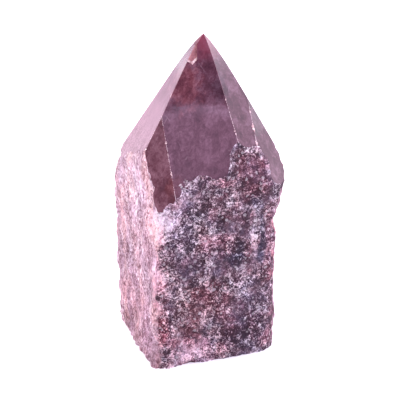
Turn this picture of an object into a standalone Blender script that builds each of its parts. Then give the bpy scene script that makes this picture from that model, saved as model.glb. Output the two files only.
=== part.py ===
"""A mineral point: one rough block of foliated mica rock, sawn flat below and ground to a polished point above.

The block is split along its foliation at the front and back, so those faces break in low flat steps,
and across it at the left and right, so those faces show upright ribs. Six polished faces meet at the
tip, which is lapped slightly round, and two narrower ones cut the corners below. Metres, +Z up, front
face towards -Y.
"""

import math

import bmesh
import bpy
from mathutils import Matrix, Vector, noise

MM = 0.001

# Height of the finished point. X runs along the foliation and Y across it.
HEIGHT = 0.100

# Plan of the block at its foot and at its shoulder: front left, front right, back right, back left.
FOOT_CORNERS = ((-0.0186, -0.0153), (0.0207, -0.0178), (0.0204, 0.0152), (-0.0189, 0.0154))
SHOULDER_CORNERS = ((-0.0168, -0.0154), (0.0207, -0.0174), (0.0212, 0.0150), (-0.0198, 0.0155))
SHOULDER_HEIGHT = 0.070
CORNER_RADII = (0.0012, 0.0065, 0.0040, 0.0022)

# The polished faces meet at a point above the finished tip, which is lapped down to it.
TIP = Vector((0.0026, -0.0011, 0.1026))
LAP_START = 0.084
LAP_POWER = 3
LAP_LEVELS = (0.0840, 0.0875, 0.0905, 0.0930, 0.0952, 0.0972, 0.0990, 0.1006)

# Polished faces. The bearing is the way a face looks, in degrees from the front towards +X, the slope
# is its angle from level, and the last number is how far outside the point above it stands.
POLISHED_FACES = {
    "left": (-104.0, 60.9, 0.0),
    "front": (-19.7, 67.0, 0.0),
    "right_front": (22.8, 62.5, 0.0),
    "right_back": (86.7, 63.0, 0.0),
    "back": (148.0, 62.5, 0.0),
    "left_back": (-159.8, 64.3, 0.0),
    "front_left_corner": (-28.0, 68.4, 0.00216),
    "right_corner": (39.7, 66.1, 0.00282),
}

# Knobs (positive) and hollows (negative) that stand out on the rough faces: centre, reach, height.
KNOBS = (
    (Vector((0.0215, -0.0105, 0.0555)), Vector((0.0120, 0.0130, 0.0115)), 0.0027),
    (Vector((0.0160, -0.0165, 0.0680)), Vector((0.0075, 0.0075, 0.0085)), -0.0020),
    (Vector((0.0200, -0.0135, 0.0420)), Vector((0.0100, 0.0090, 0.0040)), -0.0008),
    (Vector((0.0210, -0.0120, 0.0310)), Vector((0.0080, 0.0080, 0.0070)), 0.0006),
    (Vector((0.0205, -0.0130, -0.0020)), Vector((0.0100, 0.0100, 0.0080)), -0.0006),
    (Vector((0.0070, -0.0180, 0.0000)), Vector((0.0120, 0.0080, 0.0080)), 0.0011),
    (Vector((-0.0180, -0.0155, 0.0475)), Vector((0.0050, 0.0050, 0.0050)), -0.0012),
    (Vector((0.0118, -0.0172, 0.0460)), Vector((0.0020, 0.0060, 0.0110)), -0.0011),
    (Vector((0.0020, -0.0165, 0.0630)), Vector((0.0075, 0.0060, 0.0065)), 0.0014),
    (Vector((-0.0195, 0.0160, 0.0600)), Vector((0.0095, 0.0095, 0.0100)), -0.0026),
    (Vector((0.0030, 0.0155, 0.0330)), Vector((0.0100, 0.0060, 0.0120)), -0.0013),
    (Vector((-0.0120, 0.0155, 0.0150)), Vector((0.0080, 0.0060, 0.0080)), 0.0011),
    (Vector((0.0205, 0.0060, 0.0220)), Vector((0.0060, 0.0070, 0.0110)), -0.0012),
)

# Relief of the rough faces: size of a feature and the height it stands.
LUMP_SIZE, LUMP_HEIGHT = 0.0130, 0.00055
BUMP_SIZE, BUMP_HEIGHT = 0.0050, 0.00042
STEP_SIZE, STEP_HEIGHT, STEP_COUNT = 0.0066, 0.00038, 3.4
STEP_RISER, STEP_MIDDLE = 0.22, 0.40
RIB_SPACING, RIB_LENGTH, RIB_HEIGHT = 0.0021, 0.0095, 0.00060
GRAIN_SIZE, GRAIN_HEIGHT = 0.0021, 0.00034
SCATTER = 0.00045

# Where each kind of relief is read from the noise field, so that no two follow each other.
LUMP_PLACE = Vector((2.3, 9.1, 5.6))
BUMP_PLACE = Vector((8.4, 1.2, 3.3))
STEP_PLACE = Vector((4.1, 0.3, 7.7))
RIB_PLACE = Vector((1.7, 5.2, 0.4))
SIDEWAYS_PLACE = Vector((3.1, 6.2, 9.3))
UPWARDS_PLACE = Vector((7.7, 2.4, 5.1))

# The flake lost from the edge between the left and front faces, just below the tip. The lean turns its
# scoop from halfway between the two faces towards the front one.
CHIP_BELOW_TIP = 0.0082
CHIP_LENGTH = 0.0082
CHIP_WIDTH = 0.0044
CHIP_DEPTH = 0.00075
CHIP_BULK = 0.0030
CHIP_LEAN = 0.6

# Mesh of the rough faces. The blank starts below the foot and ends above the tip, and is cut to both.
STATIONS = 96
ROW_HEIGHT = 0.00148
BLANK_FOOT = -0.0030
ROUGH_TOP = 0.0775
BLANK_TOP = TIP.z + 0.002
MERGE_DISTANCE = 0.00004
CUT_TOLERANCE = 0.0000002


def face_normal(bearing, slope):
    """The outward normal of a face that looks along a bearing at a slope, both in degrees."""
    bearing, slope = math.radians(bearing), math.radians(slope)
    level = math.sin(slope)
    return Vector((level * math.sin(bearing), -level * math.cos(bearing), math.cos(slope)))


def polished_planes():
    """A point and an outward normal for every polished face."""
    planes = []
    for bearing, slope, outside in POLISHED_FACES.values():
        normal = face_normal(bearing, slope)
        planes.append((TIP + normal * outside, normal))
    return planes


def rounded_corner(corner, before, after, radius, steps=12):
    """Points of the arc that rounds a corner between its two neighbours in plan."""
    into, out = (before - corner).normalized(), (after - corner).normalized()
    half = into.angle(out) / 2
    centre = corner + (into + out).normalized() * (radius / math.sin(half))
    start = corner + into * (radius / math.tan(half)) - centre
    turn = math.pi - 2 * half
    return [centre + Matrix.Rotation(turn * i / steps, 3, "Z") @ start for i in range(steps + 1)]


def block_outline(plan):
    """A plan of the block as evenly spaced points and outward directions, anticlockwise from above."""
    corners = [Vector((x, y, 0)) for x, y in plan]
    path = []
    for i, radius in enumerate(CORNER_RADII):
        path += rounded_corner(corners[i], corners[i - 1], corners[(i + 1) % 4], radius)
    path.append(path[0])
    lengths = [(b - a).length for a, b in zip(path, path[1:])]
    spacing = sum(lengths) / STATIONS
    stations, walked, side = [], 0.0, 0
    for i in range(STATIONS):
        while walked + lengths[side] < i * spacing:
            walked += lengths[side]
            side += 1
        stations.append(path[side].lerp(path[side + 1], (i * spacing - walked) / lengths[side]))
    outward = []
    for i in range(STATIONS):
        tangent = stations[(i + 1) % STATIONS] - stations[i - 1]
        outward.append(Vector((tangent.y, -tangent.x, 0)).normalized())
    return list(zip(stations, outward))


def falloff(point, centre, reach):
    """1 at a knob's centre, easing to 0 at its reach."""
    away = point - centre
    share = min(1.0, Vector((away.x / reach.x, away.y / reach.y, away.z / reach.z)).length)
    return (1 - share * share) ** 2


def cleavage_steps(point):
    """Flat steps left where layers broke away: whole levels with short risers between them."""
    level = noise.noise(point / STEP_SIZE + STEP_PLACE) * STEP_COUNT
    base = math.floor(level)
    rise = min(1.0, (level - base) / STEP_RISER)
    return (base + STEP_MIDDLE + rise * rise * (3 - 2 * rise)) * STEP_HEIGHT


def layer_ribs(point):
    """Upright ribs where the edges of the layers stand out."""
    stretched = Vector((point.x / STEP_SIZE, point.y / RIB_SPACING, point.z / RIB_LENGTH))
    return noise.noise(stretched + RIB_PLACE) * RIB_HEIGHT


def rough_relief(point, outward):
    """How far the rough surface stands out from the plain block at a point."""
    along_layers = abs(outward.y)
    relief = noise.noise(point / LUMP_SIZE + LUMP_PLACE) * LUMP_HEIGHT
    relief += noise.noise(point / BUMP_SIZE + BUMP_PLACE) * BUMP_HEIGHT
    relief += noise.noise(point / GRAIN_SIZE) * GRAIN_HEIGHT
    relief += cleavage_steps(point) * along_layers
    relief += layer_ribs(point) * (1 - along_layers)
    for centre, reach, height in KNOBS:
        relief += falloff(point, centre, reach) * height
    return relief


def rough_point(foot, shoulder, outward, height):
    """One point of the rough surface, above a point of the foot's plan."""
    point = foot.lerp(shoulder, height / SHOULDER_HEIGHT) + Vector((0, 0, height))
    along = Vector((-outward.y, outward.x, 0))
    sideways = noise.noise(point / SCATTER + SIDEWAYS_PLACE) * SCATTER
    upwards = noise.noise(point / SCATTER + UPWARDS_PLACE) * SCATTER
    return point + outward * rough_relief(point, outward) + along * sideways + Vector((0, 0, upwards))


def rough_blank():
    """The rough block before it is sawn and ground, as a closed column."""
    mesh = bmesh.new()
    foot, shoulder = block_outline(FOOT_CORNERS), block_outline(SHOULDER_CORNERS)
    plan = [(f, s, outward) for (f, outward), (s, _) in zip(foot, shoulder)]
    row_count = round((ROUGH_TOP - BLANK_FOOT) / ROW_HEIGHT)
    heights = [BLANK_FOOT + (ROUGH_TOP - BLANK_FOOT) * i / row_count for i in range(row_count + 1)]
    rows = [[mesh.verts.new(rough_point(f, s, outward, z)) for f, s, outward in plan] for z in heights]
    rows.append([mesh.verts.new(s + Vector((0, 0, BLANK_TOP))) for _, s, _ in plan])
    for low, high in zip(rows, rows[1:]):
        for i in range(STATIONS):
            j = (i + 1) % STATIONS
            mesh.faces.new((low[i], low[j], high[j], high[i]))
    mesh.faces.new(list(reversed(rows[0])))
    mesh.faces.new(rows[-1])
    return mesh


def cut_flat(mesh, point, normal):
    """Takes away all of the block beyond a plane and closes it with a flat face."""
    everything = mesh.verts[:] + mesh.edges[:] + mesh.faces[:]
    cut = bmesh.ops.bisect_plane(
        mesh, geom=everything, dist=CUT_TOLERANCE, plane_co=point, plane_no=normal, clear_outer=True
    )
    rim = [part for part in cut["geom_cut"] if isinstance(part, bmesh.types.BMEdge)]
    bmesh.ops.triangle_fill(mesh, use_beauty=True, use_dissolve=False, edges=rim, normal=normal)


def lapped(height):
    """The height of a point once the tip has been lapped down: nothing is lost below the lap's start."""
    share = max(0.0, height - LAP_START) / (TIP.z - LAP_START)
    return height - (TIP.z - HEIGHT) * share**LAP_POWER


def lap_tip(mesh):
    """Rounds the polished faces over towards the tip, in narrow bands, which leaves them slightly convex."""
    for level in LAP_LEVELS:
        everything = mesh.verts[:] + mesh.edges[:] + mesh.faces[:]
        bmesh.ops.bisect_plane(
            mesh, geom=everything, dist=CUT_TOLERANCE, plane_co=(0, 0, level), plane_no=(0, 0, 1)
        )
    for vertex in mesh.verts:
        vertex.co.z = lapped(vertex.co.z)


def chip_cutter():
    """A lens-shaped cutter that scoops the flake from the edge below the tip."""
    left, front = (face_normal(*POLISHED_FACES[name][:2]) for name in ("left", "front"))
    along = left.cross(front).normalized()
    along = -along if along.z > 0 else along
    outward = left.lerp(front, CHIP_LEAN)
    outward = (outward - along * outward.dot(along)).normalized()
    middle = TIP + along * CHIP_BELOW_TIP
    middle.z = lapped(middle.z)
    middle += outward * (CHIP_BULK - CHIP_DEPTH)
    shape = bmesh.new()
    bmesh.ops.create_icosphere(shape, subdivisions=2, radius=1.0)
    sizes = Matrix.Diagonal((CHIP_WIDTH / 2, CHIP_BULK, CHIP_LENGTH / 2, 1))
    turn = Matrix((outward.cross(along), outward, along)).transposed().to_4x4()
    bmesh.ops.transform(shape, matrix=turn @ sizes, verts=shape.verts)
    bmesh.ops.recalc_face_normals(shape, faces=shape.faces)
    cutter = mesh_object("chip_cutter", shape)
    cutter.location = middle
    cutter.hide_render = True
    cutter.display_type = "WIRE"
    return cutter


def mesh_object(name, mesh):
    """Puts a finished bmesh in the scene as a named object."""
    data = bpy.data.meshes.new(name)
    mesh.to_mesh(data)
    mesh.free()
    made = bpy.data.objects.new(name, data)
    bpy.context.scene.collection.objects.link(made)
    return made


def stone_material():
    """Mauve mica rock."""
    material = bpy.data.materials.new("mauve_mica_rock")
    material.use_nodes = True
    shader = material.node_tree.nodes["Principled BSDF"]
    shader.inputs["Base Color"].default_value = (0.30, 0.17, 0.23, 1)
    shader.inputs["Roughness"].default_value = 0.45
    shader.inputs["Metallic"].default_value = 0.0
    return material


def build_point():
    """The rough block, sawn at the foot, ground to its polished faces and chipped."""
    mesh = rough_blank()
    cut_flat(mesh, Vector((0, 0, 0)), Vector((0, 0, -1)))
    for point, normal in polished_planes():
        cut_flat(mesh, point, normal)
    lap_tip(mesh)
    bmesh.ops.remove_doubles(mesh, verts=mesh.verts, dist=MERGE_DISTANCE)
    bmesh.ops.recalc_face_normals(mesh, faces=mesh.faces)
    stone = mesh_object("fuchsite_point", mesh)
    stone.data.materials.append(stone_material())
    chip = stone.modifiers.new("flake_lost", "BOOLEAN")
    chip.operation = "DIFFERENCE"
    chip.solver = "EXACT"
    chip.object = chip_cutter()
    return stone


def main():
    """Clears the scene and builds the point."""
    for old in list(bpy.data.objects):
        bpy.data.objects.remove(old, do_unlink=True)
    build_point()


main()
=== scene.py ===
"""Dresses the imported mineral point: broken mica rock below, a hand-polished tip above, in a pale studio."""

import logging
import math
from collections.abc import Iterable, Iterator
from contextlib import contextmanager
from dataclasses import dataclass, field
from enum import IntEnum

import bmesh
import bpy
from mathutils import Matrix, Vector, noise

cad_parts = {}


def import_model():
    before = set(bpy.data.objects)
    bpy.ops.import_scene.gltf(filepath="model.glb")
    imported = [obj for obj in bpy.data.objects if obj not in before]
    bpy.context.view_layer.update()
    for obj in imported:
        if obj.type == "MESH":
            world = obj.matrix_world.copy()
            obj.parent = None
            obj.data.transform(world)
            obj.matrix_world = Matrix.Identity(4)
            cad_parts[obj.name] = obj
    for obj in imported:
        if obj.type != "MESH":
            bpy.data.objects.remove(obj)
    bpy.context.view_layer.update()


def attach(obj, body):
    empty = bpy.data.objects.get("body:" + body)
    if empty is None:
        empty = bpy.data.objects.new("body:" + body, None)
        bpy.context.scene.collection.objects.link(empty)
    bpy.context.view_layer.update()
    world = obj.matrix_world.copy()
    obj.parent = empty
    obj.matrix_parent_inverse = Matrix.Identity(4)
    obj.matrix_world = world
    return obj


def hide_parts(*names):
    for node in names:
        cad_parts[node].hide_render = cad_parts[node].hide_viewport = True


LOG = logging.getLogger("mineral_point")
MM = 0.001
NODE_NAME = "fuchsite_point"
PIECE_NAME = "polished_point_stone"

Colour = tuple[float, float, float]
Triple = tuple[float, float, float]
Plane = tuple[Vector, Vector]
Socket = bpy.types.NodeSocket

WHITE: Colour = (1.0, 1.0, 1.0)
HALVES: Triple = (0.5, 0.5, 0.5)


class Surface(IntEnum):
    """The stone's kinds of surface, in the order of its material slots."""

    BROKEN = 0
    POLISHED = 1
    FRESH_CHIP = 2
    SAWN = 3
    WORN_EDGE = 4


class Amount:
    """A number that a node tree works out, which the usual signs add up, take away and scale."""

    def __init__(self, sheet: "NodeSheet", socket: Socket) -> None:
        """Keeps an output and the sheet that it is on."""
        self.sheet, self.socket = sheet, socket

    def __add__(self, other: object) -> "Amount":
        """The sum."""
        return self.sheet.maths("ADD", self, other)

    def __sub__(self, other: object) -> "Amount":
        """The difference."""
        return self.sheet.maths("SUBTRACT", self, other)

    def __rsub__(self, other: float) -> "Amount":
        """What is left of a plain number."""
        return self.sheet.maths("SUBTRACT", other, self)

    def __mul__(self, other: object) -> "Amount":
        """The product."""
        return self.sheet.maths("MULTIPLY", self, other)

    def __abs__(self) -> "Amount":
        """The size without its sign."""
        return self.sheet.maths("ABSOLUTE", self)


class NodeSheet:
    """A node tree as it is laid out: adds nodes, sets their values and joins them."""

    def __init__(self, tree: bpy.types.NodeTree) -> None:
        """Starts on a node tree."""
        self.tree = tree

    def feed(self, socket: Socket, value: object) -> None:
        """Joins an output to a socket, or sets the socket's own value.

        Args:
            socket: The input to fill.
            value: Another node's output, or a plain value.
        """
        value = value.socket if isinstance(value, Amount) else value
        if isinstance(value, Socket):
            self.tree.links.new(value, socket)
        elif socket.type == "RGBA" and len(value) == 3:
            socket.default_value = (*value, 1.0)
        else:
            socket.default_value = value

    def add(self, kind: str, inputs: dict[str, object] | None = None, **settings: object) -> bpy.types.Node:
        """Adds a node.

        Args:
            kind: The node's type name.
            inputs: Values or outputs for its inputs, by socket name.
            **settings: Its own properties.

        Returns:
            The new node.
        """
        node = self.tree.nodes.new(kind)
        for name, value in settings.items():
            setattr(node, name, value)
        for name, value in (inputs or {}).items():
            self.feed(node.inputs[name], value)
        return node

    def maths(self, operation: str, *values: object) -> Amount:
        """Adds a Math node.

        Args:
            operation: Its operation.
            *values: Its inputs in order.

        Returns:
            Its result.
        """
        node = self.add("ShaderNodeMath", operation=operation)
        for socket, value in zip(node.inputs, values):
            self.feed(socket, value)
        return Amount(self, node.outputs[0])

    def vectors(self, operation: str, *values: object, result: str = "Vector") -> Socket:
        """Adds a Vector Math node.

        Args:
            operation: Its operation.
            *values: Its inputs in order.
            result: The output wanted.

        Returns:
            That output.
        """
        node = self.add("ShaderNodeVectorMath", operation=operation)
        for socket, value in zip(node.inputs, values):
            self.feed(socket, value)
        return node.outputs[result]

    def measure(self, operation: str, *values: object) -> Amount:
        """The number that a Vector Math node gives, such as a length, with the same arguments."""
        return Amount(self, self.vectors(operation, *values, result="Value"))

    def beyond(self, place: object, plane: Plane) -> Amount:
        """How far outside a plane a place lies.

        Args:
            place: The place in millimetres.
            plane: A point of the plane, in metres, and its normal.

        Returns:
            The distance in millimetres, below 0 inside.
        """
        point, normal = plane
        return self.measure("DOT_PRODUCT", place, tuple(normal)) - point.dot(normal) / MM

    def parts(self, place: object) -> list[Amount]:
        """The three numbers of a vector."""
        return [Amount(self, part) for part in self.add("ShaderNodeSeparateXYZ", {"Vector": place}).outputs]

    def colour_parts(self, colour: Socket) -> list[Amount]:
        """The red, green and blue of a colour."""
        return [Amount(self, part) for part in self.add("ShaderNodeSeparateColor", {"Color": colour}).outputs]

    def blend(self, share: object, first: object, second: object, mode: str = "MIX") -> Socket:
        """Mixes two colours.

        Args:
            share: How much of the second shows.
            first: The colour below.
            second: The colour above.
            mode: The blend mode.

        Returns:
            The mixed colour.
        """
        node = self.add("ShaderNodeMix", data_type="RGBA", blend_type=mode)
        first_colour, second_colour, mixed = 6, 7, 2
        self.feed(node.inputs["Factor"], share)
        self.feed(node.inputs[first_colour], first)
        self.feed(node.inputs[second_colour], second)
        return node.outputs[mixed]

    def tinted(self, colour: object, tint: object, share: object = 1.0) -> Socket:
        """A colour multiplied by a tint, in full or by a share."""
        return self.blend(share, colour, tint, "MULTIPLY")

    def ease(self, value: object, low: float, high: float) -> Amount:
        """A smooth step.

        Args:
            value: What is measured.
            low: Where the result is 0.
            high: Where the result is 1, above or below low.

        Returns:
            The step, from 0 to 1.
        """
        node = self.add("ShaderNodeMapRange", interpolation_type="SMOOTHSTEP")
        start, end, first, last = (low, high, 0.0, 1.0) if low < high else (high, low, 1.0, 0.0)
        for name, number in (("From Min", start), ("From Max", end), ("To Min", first), ("To Max", last)):
            node.inputs[name].default_value = number
        self.feed(node.inputs["Value"], value)
        return Amount(self, node.outputs["Result"])

    def ramp(self, value: object, stops: Iterable[tuple[float, Colour]]) -> Socket:
        """A colour ramp.

        Args:
            value: Where to read it.
            stops: Places and colours, in order.

        Returns:
            The colour there.
        """
        node = self.add("ShaderNodeValToRGB", {"Fac": value})
        band = node.color_ramp
        for i, (place, colour) in enumerate(stops):
            stop = band.elements[i] if i < 2 else band.elements.new(place)
            stop.position = place
            stop.color = (*colour, 1.0)
        return node.outputs["Color"]

    def cloud(self, place: object, scale: float, detail: float = 3.0, rough: float = 0.55) -> Amount:
        """Fractal noise.

        Args:
            place: Where to read it, in millimetres.
            scale: Features in a millimetre.
            detail: Number of finer octaves.
            rough: Strength of the finer octaves.

        Returns:
            A value about 0.5.
        """
        inputs = {"Vector": place, "Scale": scale, "Detail": detail, "Roughness": rough}
        return Amount(self, self.add("ShaderNodeTexNoise", inputs).outputs["Fac"])

    def waver(self, place: object, weave: tuple[float, ...], width: float) -> Amount:
        """Fractal noise about 0, from its scale, detail and roughness, as wide as wanted."""
        return (self.cloud(place, *weave) - 0.5) * width

    def fade(self, place: object, weave: tuple[float, ...], span: tuple[float, float]) -> Amount:
        """Fractal noise as soft patches: 0 at one end of a span of its values and 1 at the other."""
        return self.ease(self.cloud(place, *weave), *span)

    def group(self, tree: bpy.types.NodeTree, **inputs: object) -> dict[str, object]:
        """Places a node group.

        Args:
            tree: The group.
            **inputs: Its inputs by name.

        Returns:
            The group's outputs by name.
        """
        node = self.add("ShaderNodeGroup", node_tree=tree)
        for name, value in inputs.items():
            self.feed(node.inputs[name], value)
        return {out.name: Amount(self, out) if out.type == "VALUE" else out for out in node.outputs}

    def place_in_millimetres(self) -> Socket:
        """The shaded point in the stone's own frame, in millimetres."""
        place = self.add("ShaderNodeTexCoord").outputs["Object"]
        return self.add("ShaderNodeMapping", {"Vector": place, "Scale": (1 / MM,) * 3}).outputs["Vector"]


def new_group(name: str, inputs: dict[str, str], outputs: dict[str, str]) -> tuple[NodeSheet, dict, dict]:
    """Starts a shader node group.

    Args:
        name: The group's name.
        inputs: Socket kinds by name, such as Vector or Float.
        outputs: Socket kinds by name.

    Returns:
        The sheet to draw on, the group's inputs and the sockets to fill as its outputs, by name.
    """
    tree = bpy.data.node_groups.new(name, "ShaderNodeTree")
    for in_out, sockets in (("INPUT", inputs), ("OUTPUT", outputs)):
        for label, kind in sockets.items():
            tree.interface.new_socket(label, in_out=in_out, socket_type="NodeSocket" + kind)
    sheet = NodeSheet(tree)
    entry, leave = sheet.add("NodeGroupInput"), sheet.add("NodeGroupOutput")
    return sheet, {k: entry.outputs[k] for k in inputs}, {k: leave.inputs[k] for k in outputs}


def new_material(name: str) -> tuple[bpy.types.Material, NodeSheet, bpy.types.Node]:
    """Starts a material.

    Args:
        name: The material's name.

    Returns:
        The material, the sheet to draw on and its Principled shader.
    """
    material = bpy.data.materials.new(name)
    material.use_nodes = True
    return material, NodeSheet(material.node_tree), material.node_tree.nodes["Principled BSDF"]


def direction(bearing: float, lift: float) -> Vector:
    """A direction from its bearing off the front towards +X and its lift above the floor, in degrees."""
    turn, rise = math.radians(bearing), math.radians(lift)
    return Vector((math.sin(turn) * math.cos(rise), -math.cos(turn) * math.cos(rise), math.sin(rise)))


def select_only(things: Iterable[bpy.types.Object], active: bpy.types.Object) -> None:
    """Selects some objects and nothing else.

    Args:
        things: The objects.
        active: The one of them that is active.
    """
    bpy.ops.object.select_all(action="DESELECT")
    for thing in things:
        thing.select_set(True)
    bpy.context.view_layer.objects.active = active


@contextmanager
def editing(thing: bpy.types.Object, select: str = "SELECT") -> Iterator[bmesh.types.BMesh]:
    """Edit mode on the active object.

    Args:
        thing: The active object.
        select: What is done first to its selection.

    Yields:
        Its mesh.
    """
    bpy.ops.object.mode_set(mode="EDIT")
    bpy.ops.mesh.select_all(action=select)
    yield bmesh.from_edit_mesh(thing.data)
    bpy.ops.object.mode_set(mode="OBJECT")


class Finish:
    """What the stone's finishes share: how they start and what they feed."""

    def start(self, name: str) -> tuple[bpy.types.Material, NodeSheet, bpy.types.Node, Socket]:
        """Starts a material.

        Args:
            name: The material's name.

        Returns:
            The material, the sheet to draw on, its Principled shader and the place in millimetres.
        """
        material, sheet, shader = new_material(name)
        return material, sheet, shader, sheet.place_in_millimetres()

    def finish(
        self, sheet: NodeSheet, shader: bpy.types.Node, colour: object, roughness: object, bump: dict
    ) -> None:
        """Feeds the shader.

        Args:
            sheet: The material's sheet.
            shader: The Principled shader.
            colour: The base colour.
            roughness: The roughness.
            bump: The inputs of the Bump node, by name.
        """
        sheet.feed(shader.inputs["Base Color"], colour)
        sheet.feed(shader.inputs["Roughness"], roughness)
        sheet.feed(shader.inputs["Normal"], sheet.add("ShaderNodeBump", bump).outputs["Normal"])


@dataclass(frozen=True)
class Mark:
    """A patch of the stone, as a ragged egg shape in millimetres, that is tinted and made paler or darker."""

    centre: Triple
    reach: Triple
    tint: Colour
    lift: float = 0.0


class RockPatterns:
    """The node groups that the stone's materials share."""

    block_middle = (1.4, -0.9)
    block_halves = (19.4, 15.2)
    block_waver = ((0.35, 3.0), 0.30)
    block_fade = (-0.05, 0.05)
    patch_rim = (1.25, 0.45)
    patch_waver = ((0.55, 5.0, 0.65), 2.4)
    margin_rim = (-1.0, -0.15)
    margin_waver = ((0.9, 4.0, 0.7), 1.6)
    grain_drift = (0.45, 3.0, 0.6)
    grain_bend = 2.4
    clusters = (0.24, 3.0, 0.75)
    crystals = (1.05, 4.0, 0.85)
    cluster_width, crystal_width = 2.0, 1.75
    dust_waver = ((2.3, 2.0, 0.8), 2.3)
    cell_sizes = ((0.72, 0.24), (1.55, 0.36))
    cell_mean = 0.30
    cell_reach = 0.85
    cell_fade = (-0.05, 0.30)
    thread_weave = (0.42, 2.0, 0.5)
    thread_fade = (0.020, 0.0)
    thread_patches = ((0.25, 1.0), (0.48, 0.62))
    thread_pale = 0.26
    crowd_patches = ((0.14, 2.0), (0.36, 0.62))
    crowd_gain, crowd_least = 0.85, 0.54
    rare_flakes = (0.95, 0.97)

    def __init__(self, planes: dict[str, Plane]) -> None:
        """Builds every group once.

        Args:
            planes: A point and the normal of each polished face, by name.
        """
        self.side = self._block_side()
        self.mark = self._mark()
        self.grain = self._grain()
        self.flakes = self._flakes()
        self.polish_margin = self._polish_margin(planes.values())
        self.on_left = self._on_plane("on_left_face", planes["left"], -0.25)
        self.on_corner = self._on_plane("on_front_left_corner", planes["front_left_corner"], -0.02)

    def _block_side(self) -> bpy.types.NodeTree:
        """Where the layers of the rock are seen edge on: 1 on the left and right faces, 0 on the others."""
        sheet, given, out = new_group("layer_edges", {"Place": "Vector"}, {"Edge On": "Float"})
        to_the_right, to_the_back, _ = sheet.parts(given["Place"])
        wander = sheet.waver(given["Place"], *self.block_waver)
        across = abs(to_the_right - self.block_middle[0]) * (1 / self.block_halves[0])
        deep = abs(to_the_back - self.block_middle[1]) * (1 / self.block_halves[1])
        sheet.feed(out["Edge On"], sheet.ease(across - deep + wander, *self.block_fade))
        return sheet.tree

    def _mark(self) -> bpy.types.NodeTree:
        """An egg-shaped patch with a ragged rim."""
        inputs = {"Place": "Vector", "Centre": "Vector", "Reach": "Vector"}
        sheet, given, out = new_group("ragged_patch", inputs, {"Mask": "Float"})
        away = sheet.vectors("SUBTRACT", given["Place"], given["Centre"])
        far = sheet.measure("LENGTH", sheet.vectors("DIVIDE", away, given["Reach"]))
        ragged = sheet.waver(given["Place"], *self.patch_waver)
        sheet.feed(out["Mask"], sheet.ease(far + ragged, *self.patch_rim))
        return sheet.tree

    def _polish_margin(self, planes: Iterable[Plane]) -> bpy.types.NodeTree:
        """How close the rock comes to the ground planes: 1 at a polished face's border, 0 away from it.

        Args:
            planes: A point and the normal of each polished face.

        Returns:
            The group.
        """
        sheet, given, out = new_group("polish_margin", {"Place": "Vector"}, {"Near": "Float"})
        highest, *others = [sheet.beyond(given["Place"], plane) for plane in planes]
        for other in others:
            highest = sheet.maths("MAXIMUM", highest, other)
        ragged = sheet.waver(given["Place"], *self.margin_waver)
        sheet.feed(out["Near"], sheet.ease(highest + ragged, *self.margin_rim))
        return sheet.tree

    def _on_plane(self, name: str, plane: Plane, below: float) -> bpy.types.NodeTree:
        """Which part of the surface lies on a plane: 1 on it, easing to 0 a little below it.

        Args:
            name: The group's name.
            plane: A point and the normal of the plane.
            below: How far below the mask ends, in millimetres, as a negative number.

        Returns:
            The group.
        """
        sheet, given, out = new_group(name, {"Place": "Vector"}, {"Mask": "Float"})
        sheet.feed(out["Mask"], sheet.ease(sheet.beyond(given["Place"], plane), below, below / 3))
        return sheet.tree

    def _grain(self) -> bpy.types.NodeTree:
        """The rock's crowded grains, from clusters down to single crystals, as a value about 0.5."""
        outputs = {"Value": "Float", "Cloud": "Float", "Fine": "Float"}
        sheet, given, out = new_group("rock_grain", {"Place": "Vector", "Stretch": "Vector"}, outputs)
        place = sheet.vectors("MULTIPLY", given["Place"], given["Stretch"])
        drift = sheet.cloud(place, *self.grain_drift).socket.node.outputs["Color"]
        drift = sheet.vectors("MULTIPLY", sheet.vectors("SUBTRACT", drift, HALVES), (self.grain_bend,) * 3)
        bent = sheet.vectors("ADD", place, drift)
        cloud = sheet.cloud(bent, *self.clusters)
        fine = sheet.cloud(bent, *self.crystals)
        total = (cloud - 0.5) * self.cluster_width + (fine - 0.5) * self.crystal_width
        total += sheet.waver(place, *self.dust_waver)
        for scale, strength in self.cell_sizes:
            cell = sheet.add("ShaderNodeTexVoronoi", {"Vector": bent, "Scale": scale}).outputs
            single = sheet.colour_parts(cell["Color"])[0]
            grain = sheet.ease(single * self.cell_reach - cell["Distance"], *self.cell_fade)
            total += (grain - self.cell_mean) * strength
        thread = sheet.ease(abs(sheet.cloud(bent, *self.thread_weave) - 0.5), *self.thread_fade)
        thread *= sheet.fade(place, *self.thread_patches)
        crowding = sheet.fade(place, *self.crowd_patches) * self.crowd_gain + self.crowd_least
        sheet.feed(out["Value"], total * crowding + thread * self.thread_pale + 0.5)
        sheet.feed(out["Cloud"], cloud)
        sheet.feed(out["Fine"], fine)
        return sheet.tree

    def _flakes(self) -> bpy.types.NodeTree:
        """Mica flakes, each tilted its own way, as a normal, with a mask of the few that glint."""
        inputs = {"Place": "Vector", "Scale": "Float", "Tilt": "Float"}
        sheet, given, out = new_group("mica_flakes", inputs, {"Normal": "Vector", "Glint": "Float"})
        voronoi = {"Vector": given["Place"], "Scale": given["Scale"]}
        cell = sheet.add("ShaderNodeTexVoronoi", voronoi).outputs["Color"]
        lean = sheet.add("ShaderNodeVectorMath", operation="SCALE")
        sheet.feed(lean.inputs[0], sheet.vectors("SUBTRACT", cell, HALVES))
        sheet.feed(lean.inputs["Scale"], given["Tilt"])
        normal = sheet.add("ShaderNodeNewGeometry").outputs["Normal"]
        sheet.feed(out["Normal"], sheet.vectors("NORMALIZE", sheet.vectors("ADD", normal, lean.outputs[0])))
        sheet.feed(out["Glint"], sheet.ease(sheet.colour_parts(cell)[2], *self.rare_flakes))
        return sheet.tree


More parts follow.
